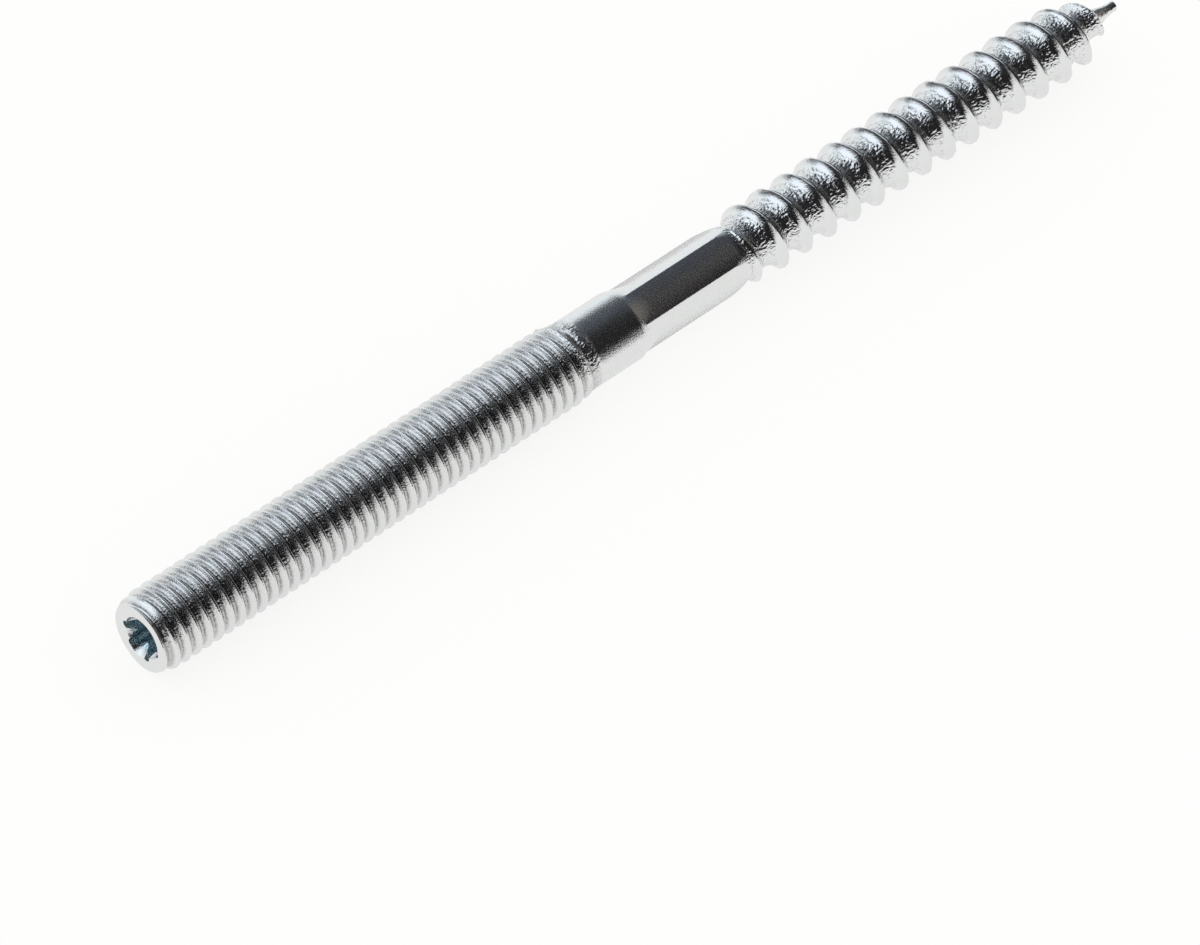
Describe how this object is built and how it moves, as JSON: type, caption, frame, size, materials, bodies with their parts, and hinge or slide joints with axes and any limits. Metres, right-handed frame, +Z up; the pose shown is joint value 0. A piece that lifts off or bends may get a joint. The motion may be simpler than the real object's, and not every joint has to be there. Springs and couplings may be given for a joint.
{
  "type": "hanger bolt",
  "caption": "Hanger bolt: a machine thread with a lobed star drive in its end, a plain shank, a spanner hexagon, and a coarse wood thread that runs to a point.",
  "frame": {"origin": "on the bolt's axis, at the centre of the machine end's face", "axes": "+X along the bolt's axis from the machine end to the point, +Z up as the bolt lies, +Y to the left of +X seen from above"},
  "size_m": [0.1206, 0.0076, 0.0076],
  "materials": {
    "zinc_plated_steel": "bright blue-white zinc plating"
  },
  "bodies": {
    "root": {"hanger_bolt": "zinc_plated_steel"}
  },
  "joints": []
}
